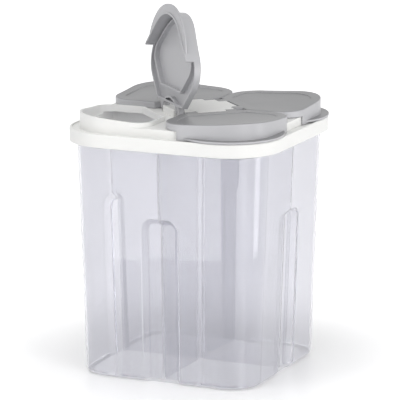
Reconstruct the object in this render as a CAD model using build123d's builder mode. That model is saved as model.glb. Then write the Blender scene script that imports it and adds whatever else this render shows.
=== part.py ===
from build123d import *
from math import radians, sqrt, tan
import os

# Four-compartment dry food dispenser: a clear tub, a white collar and four grey flip caps.
# Millimetres, +Z up. The origin is at the middle of the base, on the surface that the tub stands on,
# and the front looks along -Y. All four quarters are alike, so each is drawn once, at the back right,
# and turned about Z. There its straight sides lie along X and Y, and its hinge lies across its diagonal.

os.makedirs("parts", exist_ok=True)

# Tub: one clear moulding, with a cross divider and four finger recesses
base_side = 127.0
base_corner = 21.0
tub_wall = 1.6
tub_floor = 2.2
foot_round = 5.0
draft_angle = 1.9
divider = 2.0
divider_top = 163.0
pocket_round = 4.0
recess_width = 27.0
recess_height = 113.0
recess_depth = 4.2
recess_slope = 42.0
recess_arch = 9.0

# Collar: the white moulding that closes the tub and carries the four spouts
collar_side = 150.0
collar_corner = 36.0
flange_z = 168.0
flange_plate = 2.0
seat_fit = 0.05
skirt_drop = 8.3
skirt_wall = 2.2
skirt_round = 0.7
lip_height = 0.8
lip_width = 1.6
deck_height = 6.0
deck_plate = 2.0
deck_wall = 2.0
plug_wall = 1.5
plug_fit = 0.35
plug_reach = 1.8
spout_wall = 1.5
spout_end = 32.5
spout_side = 9.0
spout_tip = 12.0

# Caps: four grey petals, flat near their hinges and rising in a curve towards their corners
cap_inset = 5.2
cap_gap = 0.5
cap_tip = 17.0
cap_skirt = 1.4
cap_plate = 1.6
cap_fit = 0.3
cap_top = 10.7
cap_hinge_edge = 24.5
cap_edge_round = 0.8
rise_start = 45.0
rise_radius = 281.0
deep_skirt_start = 14.0
tab_overhang = 0.4
tab_plate = 1.4
dish_rim = 7.0
dish_depth = 0.4
rib_fit = 0.3
rib_wall = 1.3
rib_depth = 3.2
web_wall = 1.2
web_width = 28.0
web_reach = 9.4

# Hinges: stub pins on the two arms of each cap turn in the cheeks of a bracket on the collar
hinge_reach = 19.8
hinge_rise = 0.1
pin_radius = 1.0
pin_length = 2.4
pin_fit = 0.05
arm_radius = 1.8
arm_fit = 0.4
bracket_width = 20.6
bracket_cheek = 3.4
bracket_radius = 1.8
bracket_front = 3.1
bracket_front_rise = 1.4
bracket_wall = 1.5
open_angle = 95.0

collar_half = collar_side / 2
base_half = base_side / 2
draft_slope = tan(radians(draft_angle))
tub_height = flange_z - flange_plate - seat_fit
deck_z = flange_z + deck_height
under_deck = deck_z - deck_plate
deck_inset = cap_inset + cap_skirt + cap_fit
deck_half = collar_half - deck_inset
deck_corner = collar_corner - deck_inset
cap_half = collar_half - cap_inset
cap_corner = collar_corner - cap_inset
cap_rim = deck_z + cap_fit
tab_z = flange_z + lip_height + cap_fit
plug_bottom = flange_z - skirt_drop - plug_reach
plug_inset = tub_wall + plug_fit - plug_bottom * draft_slope
hinge_z = flange_z + cap_top + hinge_rise - arm_radius
bracket_half = bracket_width / 2
arm_inner = bracket_half + arm_fit
arm_outer = hinge_reach - arm_radius - cap_gap * sqrt(2)

# The quarter's upright plane, X outwards along its diagonal and Y up; the hinge lies along its normal
upright = Plane(origin=(0, 0, 0), x_dir=(1, 1, 0), z_dir=(1, -1, 0))
hinge = Axis(origin=upright.from_local_coords((hinge_reach, hinge_z, 0)), direction=upright.z_dir)


def tub_block(inset, low, high):
    """Tapered rounded-square block of the tub's shape, moved inwards by a wall."""
    half = base_half + low * draft_slope - inset
    with BuildPart() as block:
        with BuildSketch(Plane.XY.offset(low)):
            RectangleRounded(2 * half, 2 * half, base_corner + low * draft_slope - inset)
        extrude(amount=high - low, taper=-draft_angle)
    return block.part


def recess_block(grow):
    """Finger recess of the +X face, grown by a wall's thickness for the skin behind it."""
    proud = 1.0
    below = 12.0
    spread = grow + proud * tan(radians(recess_slope))
    top = recess_height + spread
    face = Plane(origin=(base_half, 0, 0), x_dir=(0, 1, 0), z_dir=(1, 0, -draft_slope))
    with BuildPart() as block:
        with BuildSketch(face.offset(proud)) as outline:
            with Locations((0, (top - below) / 2)):
                Rectangle(recess_width + 2 * spread, top + below)
            fillet(outline.vertices().group_by(Axis.Z)[-1], recess_arch + grow)
        extrude(amount=-(proud + recess_depth + grow), taper=recess_slope)
    return block.part


def plug_block(inset):
    """Upright block that fits the mouth of one pocket, moved inwards by a wall."""
    near = divider / 2 + plug_fit + inset
    far = base_half - plug_inset - inset
    with BuildPart() as block:
        with BuildSketch(Plane.XY.offset(plug_bottom)) as outline:
            with Locations((near, near)):
                Rectangle(far - near, far - near, align=Align.MIN)
            outer = (far, far, plug_bottom)
            fillet(outline.vertices().sort_by_distance(outer)[1:], pocket_round - plug_fit - inset)
            fillet(outline.vertices().sort_by_distance(outer)[0], base_corner - plug_inset - inset)
        extrude(amount=under_deck - plug_bottom)
    return block.part


def below_top(low, drop):
    """Everything from a level up to the caps' top surface, lowered by a thickness."""
    top = flange_z + cap_top - drop
    with BuildPart() as space:
        with BuildSketch(upright):
            with BuildLine():
                flat = Line((0, top), (rise_start, top))
                rise = JernArc(flat @ 1, (1, 0), rise_radius + drop, 18)
                Polyline(rise @ 1, ((rise @ 1).X, low), (0, low), (0, top))
            make_face()
        extrude(amount=collar_side, both=True)
    return space.part


def petal_block(side, outer, corner, tip, end, low, drop):
    """Petal with two straight outer sides, a round corner and tips, and a straight hinge end."""
    short = end * sqrt(2) - side
    with BuildPart() as block:
        with BuildSketch(Plane.XY.offset(low)) as outline:
            with BuildLine():
                Polyline((side, short), (side, outer), (outer, outer), (outer, side), (short, side), close=True)
            make_face()
            fillet(outline.vertices().sort_by_distance((outer, outer, low))[0], corner)
            fillet(outline.vertices().sort_by_distance((side, outer, low))[0], tip)
            fillet(outline.vertices().sort_by_distance((outer, side, low))[0], tip)
        extrude(amount=collar_side)
        add(below_top(low - 1, drop), mode=Mode.INTERSECT)
    return block.part


def spout_block(inset, low, drop):
    """Block of one spout's shape, moved inwards by a wall or a clearance."""
    side = spout_side + inset
    outer = deck_half - inset
    return petal_block(side, outer, deck_corner - inset, spout_tip - inset, spout_end + inset, low, drop)


def cap_block(inset, low, drop):
    """Block of one cap's shape, moved inwards by a wall or a rim."""
    side = cap_gap + inset
    outer = cap_half - inset
    return petal_block(side, outer, cap_corner - inset, cap_tip - inset, cap_hinge_edge + inset, low, drop)


# One recess and its larger twin, which leaves the skin behind it
recess = recess_block(0)
recess_skin = recess_block(tub_wall)

# The four pockets, divided by the cross
with BuildPart() as pockets:
    add(tub_block(tub_wall, tub_floor, tub_height + 1))
    with PolarLocations(0, 4):
        add(recess_skin, mode=Mode.SUBTRACT)
    with BuildSketch(Plane.XY.offset(tub_floor)):
        Rectangle(divider, base_side * 2)
        Rectangle(base_side * 2, divider)
    extrude(amount=divider_top - tub_floor, mode=Mode.SUBTRACT)
    fillet(pockets.edges().filter_by(Axis.Z), pocket_round)

with BuildPart() as tub:
    add(tub_block(0, 0, tub_height))
    fillet(tub.faces().sort_by(Axis.Z)[0].edges(), foot_round)
    with PolarLocations(0, 4):
        add(recess, mode=Mode.SUBTRACT)
    add(pockets.part, mode=Mode.SUBTRACT)
tub.part.label = "tub"
export_step(tub.part, "parts/tub.step")

# One hinge bracket: two cheeks with pin holes, joined by a low front wall that faces the cap's plate
with BuildPart() as bracket:
    with BuildSketch(upright):
        with Locations((hinge_reach, hinge_z)):
            Circle(bracket_radius)
            Rectangle(bracket_front, bracket_front_rise, align=Align.MIN)
        with Locations((hinge_reach - bracket_radius, under_deck)):
            Rectangle(bracket_radius + bracket_front, hinge_z - under_deck, align=Align.MIN)
    extrude(amount=bracket_half, both=True)
    with BuildSketch(upright):
        with Locations((hinge_reach + bracket_front - bracket_wall, deck_z)):
            Rectangle(hinge_reach, hinge_reach, align=(Align.MAX, Align.MIN))
    extrude(amount=bracket_half - bracket_cheek, both=True, mode=Mode.SUBTRACT)
    with BuildSketch(upright):
        with Locations((hinge_reach, hinge_z)):
            Circle(pin_radius + pin_fit)
    extrude(amount=bracket_half, both=True, mode=Mode.SUBTRACT)

# Collar: skirt, flange and hollow deck, then plugs into the pockets, spouts and hinge brackets
plug = plug_block(0)
plug_bore = plug_block(plug_wall)
spout = spout_block(0, under_deck, cap_plate + cap_fit)
spout_bore = spout_block(spout_wall, under_deck - 1, 0)

with BuildPart() as collar:
    with BuildSketch(Plane.XY.offset(flange_z - skirt_drop)):
        RectangleRounded(collar_side, collar_side, collar_corner)
    extrude(amount=skirt_drop + lip_height)
    fillet(collar.faces().sort_by(Axis.Z)[-1].edges(), skirt_round)
    with BuildSketch(Plane.XY.offset(flange_z - skirt_drop)):
        RectangleRounded(collar_side - 2 * skirt_wall, collar_side - 2 * skirt_wall, collar_corner - skirt_wall)
    extrude(amount=skirt_drop - flange_plate, mode=Mode.SUBTRACT)
    with BuildSketch(Plane.XY.offset(flange_z)):
        RectangleRounded(2 * deck_half, 2 * deck_half, deck_corner)
    extrude(amount=deck_height)
    with BuildSketch(Plane.XY.offset(flange_z - flange_plate)):
        RectangleRounded(2 * (deck_half - deck_wall), 2 * (deck_half - deck_wall), deck_corner - deck_wall)
    extrude(amount=under_deck - flange_z + flange_plate, mode=Mode.SUBTRACT)
    with PolarLocations(0, 4):
        add(plug)
    with PolarLocations(0, 4):
        add(plug_bore, mode=Mode.SUBTRACT)
    with BuildSketch(Plane.XY.offset(flange_z)):
        RectangleRounded(collar_side - 2 * lip_width, collar_side - 2 * lip_width, collar_corner - lip_width)
        RectangleRounded(2 * deck_half, 2 * deck_half, deck_corner, mode=Mode.SUBTRACT)
    extrude(amount=deck_height, mode=Mode.SUBTRACT)
    with PolarLocations(0, 4):
        add(spout)
        add(bracket.part)
    with PolarLocations(0, 4):
        add(spout_bore, mode=Mode.SUBTRACT)
collar.part.label = "collar"
export_step(collar.part, "parts/collar.step")

# Two arms carry the petal on past its hinge edge, beside the bracket, and hold the pins
with BuildPart() as arms:
    with BuildSketch(upright):
        with Locations((hinge_reach, hinge_z)):
            Circle(arm_radius)
        with Locations((cap_hinge_edge, cap_rim)):
            Rectangle(cap_skirt, flange_z + cap_top - cap_rim, align=Align.MIN)
        make_hull()
    extrude(amount=arm_outer, both=True)
    with BuildSketch(upright):
        with Locations((cap_hinge_edge, deck_z)):
            Rectangle(hinge_reach, 2 * cap_top, align=(Align.MAX, Align.MIN))
    extrude(amount=arm_inner, both=True, mode=Mode.SUBTRACT)
    for side in (1, -1):
        with BuildSketch(upright.offset(side * arm_inner)):
            with Locations((hinge_reach, hinge_z)):
                Circle(pin_radius)
        extrude(amount=-side * pin_length)

# Seal rib: a loop under the plate that dips into the mouth of the spout
with BuildPart() as rib:
    add(spout_block(spout_wall + rib_fit, under_deck, cap_plate / 2))
    add(spout_block(spout_wall + rib_fit + rib_wall, under_deck - 1, 0), mode=Mode.SUBTRACT)
    add(below_top(under_deck - 2, cap_plate + rib_depth), mode=Mode.SUBTRACT)

# Web: a low arch under the plate that springs from the two arms and clears the bracket
web_foot = Plane(origin=upright.from_local_coords((hinge_reach, cap_rim, 0)), x_dir=upright.z_dir, z_dir=(0, 0, 1))
with BuildPart() as web:
    with BuildSketch(web_foot):
        Ellipse(web_width / 2, web_reach)
        Ellipse(web_width / 2 - web_wall, web_reach - web_wall, mode=Mode.SUBTRACT)
        Rectangle(web_width, web_reach, align=(Align.CENTER, Align.MIN), mode=Mode.INTERSECT)
    extrude(amount=flange_z + cap_top - cap_plate / 2 - cap_rim)

# Tab: a crescent ledge at the foot of the deep skirt, out to the collar's corner, where a finger lifts the cap
with BuildPart() as tab:
    with BuildSketch(Plane.XY.offset(tab_z)):
        with Locations((collar_half - collar_corner, collar_half - collar_corner)):
            Circle(collar_corner + tab_overhang)
        inner = cap_half - cap_skirt
        RectangleRounded(2 * inner, 2 * inner, cap_corner - cap_skirt, mode=Mode.SUBTRACT)
    extrude(amount=tab_plate)

# Dish: the shallow hollow in the cap's top, inside a rim
with BuildPart() as dish:
    add(cap_block(dish_rim, deck_z, -cap_plate))
    add(below_top(deck_z - 1, dish_depth), mode=Mode.SUBTRACT)

# Cap: crowned plate with a skirt, deep outside the deck and shallow over it
with BuildPart() as cap:
    add(cap_block(0, flange_z + cap_fit, 0))
    fillet(cap.edges().sort_by(Axis.Z)[-1], cap_edge_round)
    add(dish.part, mode=Mode.SUBTRACT)
    add(cap_block(cap_skirt, flange_z, cap_plate), mode=Mode.SUBTRACT)
    with BuildSketch(Plane.XY.offset(flange_z)):
        Rectangle(2 * collar_side, 2 * collar_side)
        with Locations((deep_skirt_start, deep_skirt_start)):
            Rectangle(collar_side, collar_side, align=Align.MIN, mode=Mode.SUBTRACT)
        RectangleRounded(2 * (deck_half + cap_fit), 2 * (deck_half + cap_fit), deck_corner + cap_fit)
    extrude(amount=cap_rim - flange_z, mode=Mode.SUBTRACT)
    with BuildSketch(web_foot):
        Ellipse(web_width / 2 - web_wall, web_reach - web_wall)
    extrude(amount=flange_z + cap_top - cap_plate - cap_rim, mode=Mode.SUBTRACT)
    add(arms.part)
    add(rib.part)
    add(web.part)
    add(tab.part)

quarters = {"back_right": 0, "back_left": 90, "front_left": 180, "front_right": 270}
for corner, turn in quarters.items():
    swing = open_angle if corner == "front_left" else 0
    with BuildPart() as placed:
        add(cap.part.rotate(hinge, swing), rotation=(0, 0, turn))
    placed.part.label = "cap_" + corner
    export_step(placed.part, "parts/cap_" + corner + ".step")
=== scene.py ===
from math import cos, radians, sin

import bmesh
import bpy
from mathutils import Matrix, Vector


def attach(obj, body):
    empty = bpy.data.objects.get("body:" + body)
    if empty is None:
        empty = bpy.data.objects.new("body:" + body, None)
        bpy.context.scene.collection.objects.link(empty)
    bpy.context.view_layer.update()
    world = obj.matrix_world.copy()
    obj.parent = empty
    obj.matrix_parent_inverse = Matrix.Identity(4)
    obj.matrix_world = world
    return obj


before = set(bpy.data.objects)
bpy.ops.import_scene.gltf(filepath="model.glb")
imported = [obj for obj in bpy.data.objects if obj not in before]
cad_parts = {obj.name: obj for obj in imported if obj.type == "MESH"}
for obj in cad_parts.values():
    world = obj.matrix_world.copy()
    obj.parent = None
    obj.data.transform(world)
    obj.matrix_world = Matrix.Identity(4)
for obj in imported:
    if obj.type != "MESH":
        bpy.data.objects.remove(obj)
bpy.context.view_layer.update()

# Camera: a long lens, about two metres off, that looks a little down on the front right corner.
# It turns about a point half-way up the tub and is aimed a little higher.
VIEW_AZIMUTH = radians(24.1)
VIEW_ELEVATION = radians(13.0)
VIEW_DISTANCE = 2.199
VIEW_CENTRE = Vector((0, 0, 0.080))
VIEW_AIM = Vector((0, 0, 0.1135))
VIEW_LENS_MM = 290
VIEW_SENSOR_MM = 36

camera_data = bpy.data.cameras.new("camera")
camera_data.lens = VIEW_LENS_MM
camera_data.sensor_width = VIEW_SENSOR_MM
camera = bpy.data.objects.new("camera", camera_data)
bpy.context.collection.objects.link(camera)
camera.location = VIEW_CENTRE + VIEW_DISTANCE * Vector(
    (
        sin(VIEW_AZIMUTH) * cos(VIEW_ELEVATION),
        -cos(VIEW_AZIMUTH) * cos(VIEW_ELEVATION),
        sin(VIEW_ELEVATION),
    )
)
camera.rotation_euler = (VIEW_AIM - camera.location).to_track_quat("-Z", "Y").to_euler()
bpy.context.scene.camera = camera
bpy.context.scene.view_settings.view_transform = "Standard"


# White sweep: a round floor in matt white studio board, on which the tub stands. A faint polish
# gives it a dim mirror image of the foot. It has a painted glow, seen straight, mirrored or through
# plastic. The glow is weak near the foot, which paints a soft shade around it, and grows the further
# the floor lies from the foot, until it is as white as the world behind it.
def linear(hex_colour):
    """An sRGB hex colour as the linear colour with alpha that a shader socket takes."""
    channels = [int(hex_colour[i : i + 2], 16) / 255 for i in (1, 3, 5)]
    return [c / 12.92 if c <= 0.04045 else ((c + 0.055) / 1.055) ** 2.4 for c in channels] + [1.0]


def node(tree, kind, settings=(), links=()):
    """Adds one shader node, sets its properties and sockets, and links outputs into its inputs."""
    added = tree.nodes.new(kind)
    for name, value in dict(settings).items():
        if isinstance(name, int) or name in added.inputs:
            added.inputs[name].default_value = value
        else:
            setattr(added, name, value)
    for name, output in dict(links).items():
        tree.links.new(output, added.inputs[name])
    return added


def new_material(name):
    """A new material that has no nodes yet, and its node tree."""
    made = bpy.data.materials.new(name)
    made.use_nodes = True
    made.node_tree.nodes.clear()
    return made, made.node_tree


def white_to_the_eye(tree):
    """One for rays that show the background straight, mirrored or through plastic, else none."""
    path = node(tree, "ShaderNodeLightPath")
    mirrored = node(
        tree,
        "ShaderNodeMath",
        {"operation": "MAXIMUM"},
        {0: path.outputs["Is Camera Ray"], 1: path.outputs["Is Glossy Ray"]},
    )
    seen = node(
        tree,
        "ShaderNodeMath",
        {"operation": "MAXIMUM"},
        {0: mirrored.outputs[0], 1: path.outputs["Is Transmission Ray"]},
    )
    return seen.outputs[0]


PURE_WHITE = (1, 1, 1, 1)
BOARD_WHITE = "#EDEDEE"
BOARD_ROUGHNESS = 0.32
# The painted glow is lowest at the foot, a painted shade around it, and rises further out.
BOARD_GLOW_AT_FOOT = 0.20
BOARD_GLOW_AWAY = 0.55
GLOW_RISES_FROM = 0.07
GLOW_RISES_TO = 0.24
FLOOR_RADIUS = 6.0
FLOOR_SEGMENTS = 96
WORLD_LIGHT = 0.42

sweep, tree = new_material("white_studio_board")
board = node(
    tree,
    "ShaderNodeBsdfPrincipled",
    {"Base Color": linear(BOARD_WHITE), "Roughness": BOARD_ROUGHNESS},
)
place = node(tree, "ShaderNodeTexCoord")
from_foot = node(
    tree,
    "ShaderNodeVectorMath",
    {"operation": "LENGTH"},
    {0: place.outputs["Object"]},
)
board_glow = node(
    tree,
    "ShaderNodeMapRange",
    {
        "interpolation_type": "SMOOTHSTEP",
        "From Min": GLOW_RISES_FROM,
        "From Max": GLOW_RISES_TO,
        "To Min": BOARD_GLOW_AT_FOOT,
        "To Max": BOARD_GLOW_AWAY,
    },
    {"Value": from_foot.outputs["Value"]},
)
glow_amount = node(
    tree,
    "ShaderNodeMath",
    {"operation": "MULTIPLY"},
    {0: white_to_the_eye(tree), 1: board_glow.outputs[0]},
)
glow = node(tree, "ShaderNodeEmission", {"Color": PURE_WHITE}, {"Strength": glow_amount.outputs[0]})
lit = node(tree, "ShaderNodeAddShader", {}, {0: board.outputs[0], 1: glow.outputs[0]})
node(tree, "ShaderNodeOutputMaterial", {}, {"Surface": lit.outputs[0]})

floor_mesh = bpy.data.meshes.new("floor")
work = bmesh.new()
bmesh.ops.create_circle(work, cap_ends=True, segments=FLOOR_SEGMENTS, radius=FLOOR_RADIUS)
work.to_mesh(floor_mesh)
work.free()
floor_mesh.materials.append(sweep)
floor = bpy.data.objects.new("floor", floor_mesh)
bpy.context.collection.objects.link(floor)

world = bpy.data.worlds.new("studio")
world.use_nodes = True
tree = world.node_tree
tree.nodes.clear()
strength = node(
    tree,
    "ShaderNodeMapRange",
    {"To Min": WORLD_LIGHT, "To Max": 1.0},
    {"Value": white_to_the_eye(tree)},
)
sky = node(tree, "ShaderNodeBackground", {"Color": PURE_WHITE}, {"Strength": strength.outputs[0]})
node(tree, "ShaderNodeOutputWorld", {}, {"Surface": sky.outputs[0]})
bpy.context.scene.world = world

# Soft boxes: two large lamps, one on each hand, light the front and the right side, and one above
# lights the caps' tops. Two small ones at table height give the tub its soft-edged mirror images and
# light its front as well. Each row is a name, a place, a size and its watts.
SOFT_BOXES = (
    ("left_box", (-1.20, -1.35, 0.85), (0.9, 1.1), 6.6),
    ("right_box", (1.45, -0.85, 0.55), (0.6, 1.0), 11.4),
    ("top_box", (0.00, -0.45, 1.50), (0.9, 0.9), 6.0),
    ("front_table_box", (-0.085, -0.335, 0.075), (0.15, 0.15), 0.14),
    ("right_table_box", (0.34, 0.02, 0.11), (0.10, 0.20), 0.16),
)
LIT_POINT = Vector((0, 0, 0.10))

for name, place, (width, height), watts in SOFT_BOXES:
    aim = Vector((0, 0, place[2])) if "table" in name else LIT_POINT
    box_data = bpy.data.lights.new(name, "AREA")
    box_data.shape = "RECTANGLE"
    box_data.size = width
    box_data.size_y = height
    box_data.energy = watts
    soft_box = bpy.data.objects.new(name, box_data)
    bpy.context.collection.objects.link(soft_box)
    soft_box.location = place
    soft_box.visible_camera = False
    soft_box.rotation_euler = (aim - soft_box.location).to_track_quat("-Z", "Y").to_euler()

# Tub: clear polypropylene, injection moulded in one with its cross divider. It is glossy outside
# and its thin walls look clear. A painted milky glow, on rays that have bounced in the walls a few
# times, stands for light trapped in them and brightens their edges.
# The walls are never quite even, so mirror images in them swim a little.
TUB_TINT = "#EBEBEF"
TUB_ROUGHNESS = 0.055
TUB_CLEARNESS = 0.90
TUB_DEPTH_TINT = "#DDDDE8"
TUB_DEPTH_PER_METRE = 14.0
# Painted glow of the walls: its colour, its strength, and the glossy bounces over which it comes in.
TUB_PAINTED_GLOW_COLOUR = "#E6E6EC"
TUB_PAINTED_GLOW = 0.24
PAINTED_GLOW_FROM_BOUNCE = 1.5
PAINTED_GLOW_FULL_AT_BOUNCE = 3.5
POLYPROPYLENE_IOR = 1.49
WALL_WAVE_MM = 38
WALL_WAVE_HEIGHT_MM = 0.05
WALL_WAVE_STRENGTH = 0.5
BLOOM_SPOT_MM = 14
BLOOM_FAINTEST = 0.3
BLOOM_FULLEST = 0.7
BLOOM_SMOOTHER = 0.8
BLOOM_ROUGHER = 1.3

clear_polypropylene, tree = new_material("clear_moulded_polypropylene")
place = node(tree, "ShaderNodeTexCoord")
wave = node(
    tree,
    "ShaderNodeTexNoise",
    {"Scale": 1000 / WALL_WAVE_MM, "Detail": 1.0, "Roughness": 0.4},
    {"Vector": place.outputs["Object"]},
)
wall_relief = node(
    tree,
    "ShaderNodeBump",
    {"Strength": WALL_WAVE_STRENGTH, "Distance": WALL_WAVE_HEIGHT_MM / 1000},
    {"Height": wave.outputs["Fac"]},
)
bloom = node(
    tree,
    "ShaderNodeTexNoise",
    {"Scale": 1000 / BLOOM_SPOT_MM, "Detail": 3.0},
    {"Vector": place.outputs["Object"]},
)
wall_roughness = node(
    tree,
    "ShaderNodeMapRange",
    {
        "From Min": BLOOM_FAINTEST,
        "From Max": BLOOM_FULLEST,
        "To Min": TUB_ROUGHNESS * BLOOM_SMOOTHER,
        "To Max": TUB_ROUGHNESS * BLOOM_ROUGHER,
    },
    {"Value": bloom.outputs["Fac"]},
)
# Painted glow: the walls give off light on rays that have bounced in them a few times, which
# brightens their edges.
path = node(tree, "ShaderNodeLightPath")
painted_edge_glow = node(
    tree,
    "ShaderNodeMapRange",
    {
        "From Min": PAINTED_GLOW_FROM_BOUNCE,
        "From Max": PAINTED_GLOW_FULL_AT_BOUNCE,
        "To Max": TUB_PAINTED_GLOW,
    },
    {"Value": path.outputs["Glossy Depth"]},
)
plastic = node(
    tree,
    "ShaderNodeBsdfPrincipled",
    {
        "Base Color": linear(TUB_TINT),
        "IOR": POLYPROPYLENE_IOR,
        "Transmission Weight": TUB_CLEARNESS,
        "Emission Color": linear(TUB_PAINTED_GLOW_COLOUR),
    },
    {
        "Roughness": wall_roughness.outputs[0],
        "Normal": wall_relief.outputs[0],
        "Emission Strength": painted_edge_glow.outputs[0],
    },
)
depth = node(
    tree,
    "ShaderNodeVolumeAbsorption",
    {"Color": linear(TUB_DEPTH_TINT), "Density": TUB_DEPTH_PER_METRE},
)
node(
    tree,
    "ShaderNodeOutputMaterial",
    {},
    {"Surface": plastic.outputs[0], "Volume": depth.outputs[0]},
)
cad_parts["tub"].material_slots[0].material = clear_polypropylene

# Collar: white polypropylene, injection moulded in one with its spouts and hinge brackets. It has
# the satin skin of a lightly spark-eroded mould, which spreads its highlights wide and soft, and
# its edges are rounded off as far as such a mould's are.
COLLAR_WHITE = "#EEEEEC"
COLLAR_SHADE = "#EAEAE8"
COLLAR_ROUGHNESS = 0.42
COLLAR_SPECULAR = 0.3
COLLAR_GLOW_THROUGH = 0.15
GLOW_DEPTH_MM = 2.0
SHADE_CLOUD_MM = 35.7
MOULD_GRAIN_MM = 0.9
MOULD_GRAIN_HEIGHT_MM = 0.012
MOULD_GRAIN_STRENGTH = 0.35
EDGE_ROUND_MM = 0.7
EDGE_SAMPLES = 6
WORN_SMOOTHER = 0.05
WORN_ROUGHER = 0.08
# How far a face must turn to the given side before the painted top shade starts, and where it is
# full.
TOP_SHADE_FROM = 0.35
TOP_SHADE_FULL = 0.98


def satin_polypropylene(name, colour, shade, roughness, specular, glow_through, painted_shade_side=None):
    """Moulded satin plastic. Its second tone lies in slow clouds, or is a painted shade on the side
    that faces a given way.
    """
    made, tree = new_material(name)
    place = node(tree, "ShaderNodeTexCoord")
    cloud = node(
        tree,
        "ShaderNodeTexNoise",
        {"Scale": 1000 / SHADE_CLOUD_MM, "Detail": 3.0},
        {"Vector": place.outputs["Object"]},
    )
    shaded = cloud.outputs["Fac"]
    # Painted shade: faces that turn towards the given side take the darker colour, more the more
    # they face it.
    if painted_shade_side is not None:
        facing = node(
            tree,
            "ShaderNodeVectorMath",
            {"operation": "DOT_PRODUCT", 1: painted_shade_side},
            {0: place.outputs["Normal"]},
        )
        painted_top_shade = node(
            tree,
            "ShaderNodeMapRange",
            {"From Min": TOP_SHADE_FROM, "From Max": TOP_SHADE_FULL},
            {"Value": facing.outputs["Value"]},
        )
        shaded = painted_top_shade.outputs[0]
    tone = node(
        tree,
        "ShaderNodeMix",
        {"data_type": "RGBA", 6: linear(colour), 7: linear(shade)},
        {0: shaded},
    )
    grain = node(
        tree,
        "ShaderNodeTexNoise",
        {"Scale": 1000 / MOULD_GRAIN_MM, "Detail": 2.0},
        {"Vector": place.outputs["Object"]},
    )
    edges = node(tree, "ShaderNodeBevel", {"samples": EDGE_SAMPLES, "Radius": EDGE_ROUND_MM / 1000})
    skin = node(
        tree,
        "ShaderNodeBump",
        {"Strength": MOULD_GRAIN_STRENGTH, "Distance": MOULD_GRAIN_HEIGHT_MM / 1000},
        {"Height": grain.outputs["Fac"], "Normal": edges.outputs[0]},
    )
    worn = node(
        tree,
        "ShaderNodeMapRange",
        {"To Min": roughness - WORN_SMOOTHER, "To Max": roughness + WORN_ROUGHER},
        {"Value": cloud.outputs["Fac"]},
    )
    plastic = node(
        tree,
        "ShaderNodeBsdfPrincipled",
        {
            "IOR": POLYPROPYLENE_IOR,
            "Specular IOR Level": specular,
            "Subsurface Weight": glow_through,
            "Subsurface Radius": (1.0, 1.0, 1.0),
            "Subsurface Scale": GLOW_DEPTH_MM / 1000,
        },
        {"Base Color": tone.outputs[2], "Roughness": worn.outputs[0], "Normal": skin.outputs[0]},
    )
    node(tree, "ShaderNodeOutputMaterial", {}, {"Surface": plastic.outputs[0]})
    return made


white_polypropylene = satin_polypropylene(
    "white_satin_polypropylene",
    COLLAR_WHITE,
    COLLAR_SHADE,
    COLLAR_ROUGHNESS,
    COLLAR_SPECULAR,
    COLLAR_GLOW_THROUGH,
)
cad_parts["collar"].material_slots[0].material = white_polypropylene

# Hinge boss: the raised middle of the collar, in the same white polypropylene and moulded in one
# with it. It stands nearly flush with the caps' tops, and on each of its four sides a lug fills the
# space between the two hinge arms of a cap.
BOSS_HALF_MM = 17.6
BOSS_FOOT_MM = 173.0
BOSS_TOP_MM = 178.85
LUG_HALF_WIDTH_MM = 10.36
LUG_REACH_MM = 22.96
BOSS_EDGE_MM = 0.45
BOSS_EDGE_SEGMENTS = 3

boss_mesh = bpy.data.meshes.new("hinge_boss")
work = bmesh.new()
outline = []
for quarter in range(4):
    turn = Matrix.Rotation(radians(45 + 90 * quarter), 4, "Z")
    for out, across in (
        (BOSS_HALF_MM, -BOSS_HALF_MM),
        (BOSS_HALF_MM, -LUG_HALF_WIDTH_MM),
        (LUG_REACH_MM, -LUG_HALF_WIDTH_MM),
        (LUG_REACH_MM, LUG_HALF_WIDTH_MM),
        (BOSS_HALF_MM, LUG_HALF_WIDTH_MM),
    ):
        outline.append(work.verts.new(turn @ Vector((out, across, BOSS_FOOT_MM)) / 1000))
foot = work.faces.new(outline)
raised = bmesh.ops.extrude_face_region(work, geom=[foot])["geom"]
bmesh.ops.translate(
    work,
    vec=(0, 0, (BOSS_TOP_MM - BOSS_FOOT_MM) / 1000),
    verts=[part for part in raised if isinstance(part, bmesh.types.BMVert)],
)
bmesh.ops.recalc_face_normals(work, faces=work.faces)
boss_middle = (BOSS_FOOT_MM + BOSS_TOP_MM) / 2000
bmesh.ops.bevel(
    work,
    geom=[edge for edge in work.edges if max(end.co.z for end in edge.verts) > boss_middle],
    offset=BOSS_EDGE_MM / 1000,
    segments=BOSS_EDGE_SEGMENTS,
    profile=0.5,
    affect="EDGES",
    material=-1,
)
work.to_mesh(boss_mesh)
work.free()
boss_mesh.materials.append(white_polypropylene)
hinge_boss = bpy.data.objects.new("hinge_boss", boss_mesh)
bpy.context.collection.objects.link(hinge_boss)
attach(hinge_boss, "collar")

# Caps: grey polypropylene petals, each injection moulded in one with its skirt, seal rib, hinge
# arms and pins. They are satin like the collar. Their tops get a darker grey by which way they face,
# a painted shade that makes them look darker than the skirts. The open cap's top faces back and to
# the right.
CAP_GREY = "#B7B7BA"
# The second grey is a painted shade for the tops, darker than the skirts.
CAP_TOP_PAINTED_SHADE = "#868688"
CAP_ROUGHNESS = 0.36
CAP_SPECULAR = 0.5
CAP_GLOW_THROUGH = 0.0
CLOSED_CAP_TOP = (0, 0, 1)
OPEN_CAP_TOP = (0.7044, 0.7044, -0.0872)

for name, top, corners in (
    ("grey_satin_polypropylene", CLOSED_CAP_TOP, ("front_right", "back_left", "back_right")),
    ("grey_satin_polypropylene_open_cap", OPEN_CAP_TOP, ("front_left",)),
):
    grey_polypropylene = satin_polypropylene(
        name,
        CAP_GREY,
        CAP_TOP_PAINTED_SHADE,
        CAP_ROUGHNESS,
        CAP_SPECULAR,
        CAP_GLOW_THROUGH,
        top,
    )
    for corner in corners:
        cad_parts["cap_" + corner].material_slots[0].material = grey_polypropylene
